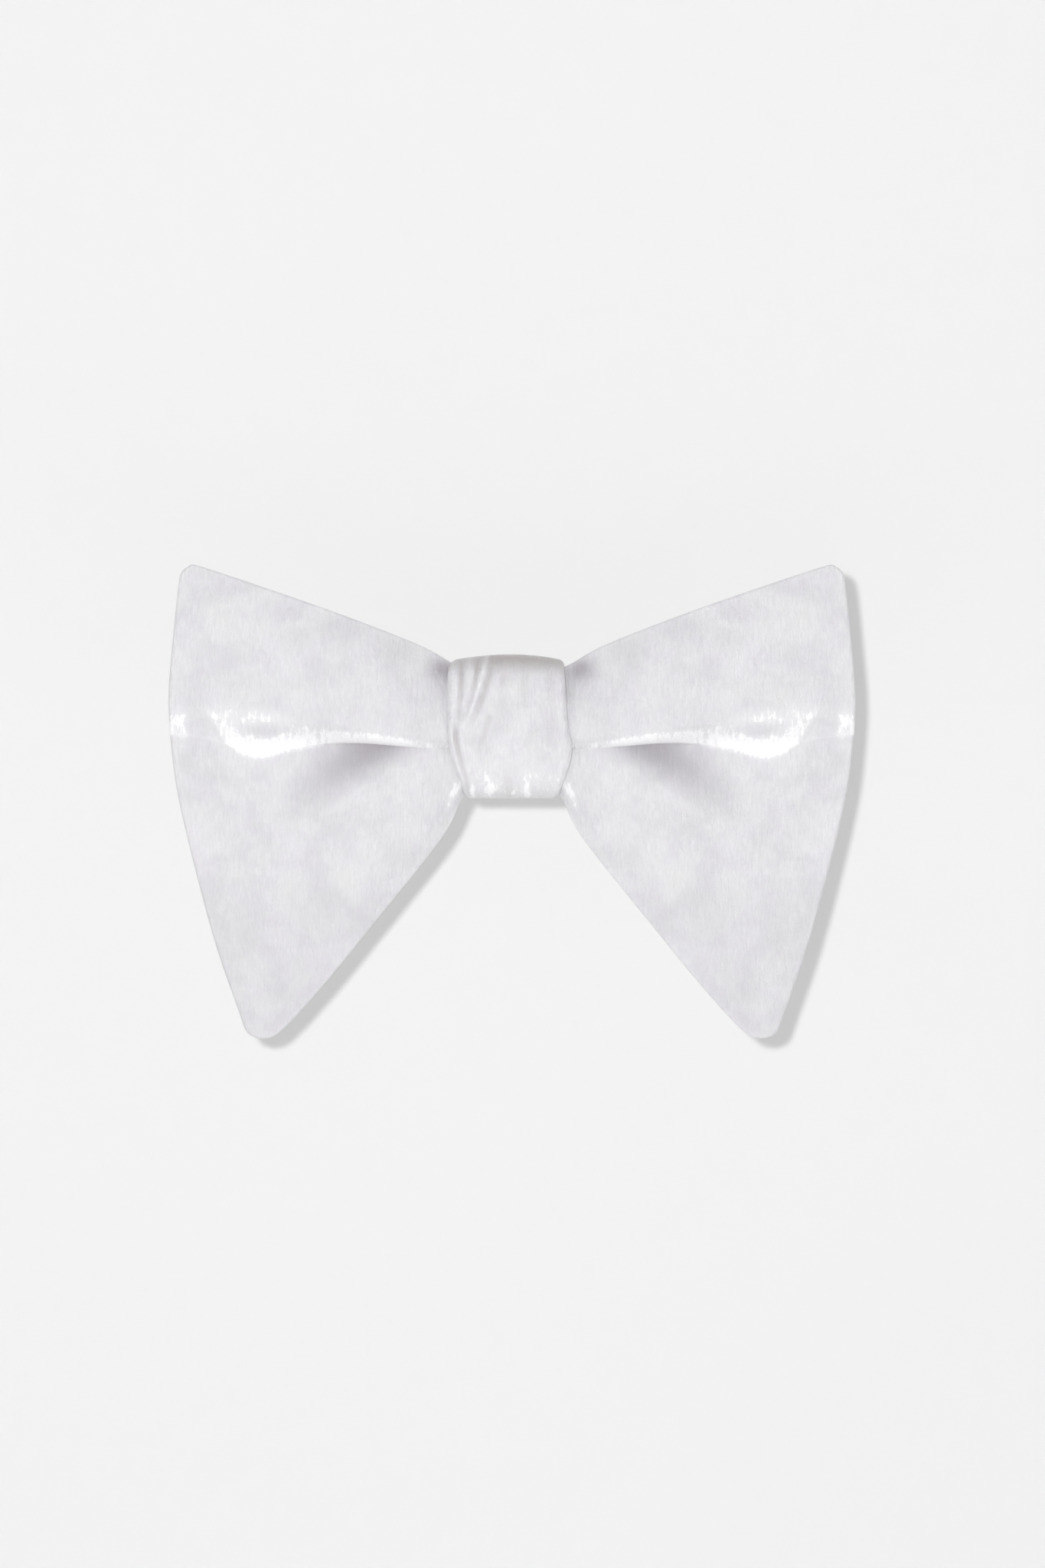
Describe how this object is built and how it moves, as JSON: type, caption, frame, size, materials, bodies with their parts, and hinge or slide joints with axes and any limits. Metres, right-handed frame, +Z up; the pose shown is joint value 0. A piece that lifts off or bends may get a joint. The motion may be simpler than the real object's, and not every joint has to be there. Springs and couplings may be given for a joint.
{
  "type": "bow tie",
  "caption": "Pre-tied butterfly bow tie: wide drooping velvet wings gathered into a wrapped knot, on an adjustable ribbon neck strap with a hook and eye clasp.",
  "frame": {"origin": "the wearer's neck axis, at the height of the middle of the strap and of the knot", "axes": "+Z up to the chin, the bow's front faces -Y, +X is to the right of someone facing the wearer"},
  "size_m": [0.1504, 0.1463, 0.1036],
  "materials": {
    "velvet": "white crushed velvet",
    "satin": "white satin ribbon and lining",
    "canvas": "stiff natural interlining",
    "thread": "white polyester thread",
    "nickel": "polished nickel plate"
  },
  "bodies": {
    "bow": {"bow_lining": "satin", "bow_canvas": "canvas", "bow_velvet_face": "velvet", "gather_thread": "thread", "knot_canvas": "canvas", "knot_wrap": "velvet", "knot_tack": "thread", "strap_centre": "satin"},
    "band_left": {"strap_left": "satin", "strap_left_end": "satin", "eye_tack": "thread"},
    "eye": {"eye": "nickel"},
    "band_right": {"strap_right": "satin", "strap_take_up": "satin"},
    "strap_loop": {"strap_hook_bight": "satin", "strap_tail": "satin"},
    "hook": {"hook": "nickel"},
    "adjuster": {"adjuster": "nickel", "strap_tail_end": "satin", "adjuster_tack": "thread"}
  },
  "joints": [
    {"name": "band_left_swing", "type": "hinge", "parent": "bow", "child": "band_left", "pos_m": [-0.016, -0.06197, 0], "axis": [0, 0, 1], "range_deg": [0, 30]},
    {"name": "band_right_swing", "type": "hinge", "parent": "bow", "child": "band_right", "pos_m": [0.016, -0.06197, 0], "axis": [0, 0, -1], "range_deg": [0, 30]},
    {"name": "take_up_slide", "type": "hinge", "parent": "band_right", "child": "strap_loop", "pos_m": [0, 0, 0], "axis": [0, 0, 1], "range_deg": [-30, 8], "deforming": ["strap_take_up", "strap_tail"]},
    {"name": "adjuster_slide", "type": "hinge", "parent": "strap_loop", "child": "adjuster", "pos_m": [0, 0, 0], "axis": [0, 0, 1], "range_deg": [-30, 8]},
    {"name": "hook_tilt", "type": "hinge", "parent": "strap_loop", "child": "hook", "pos_m": [0.02141, 0.05883, 0], "axis": [0, 0, 1], "range_deg": [-30, 30]},
    {"name": "eye_tilt", "type": "hinge", "parent": "band_left", "child": "eye", "pos_m": [-0.01725, 0.06017, 0], "axis": [0, 0, 1], "range_deg": [-30, 30]}
  ],
  "couplings": [
    {"joint": "adjuster_slide", "follows": "take_up_slide", "ratio": 1}
  ]
}
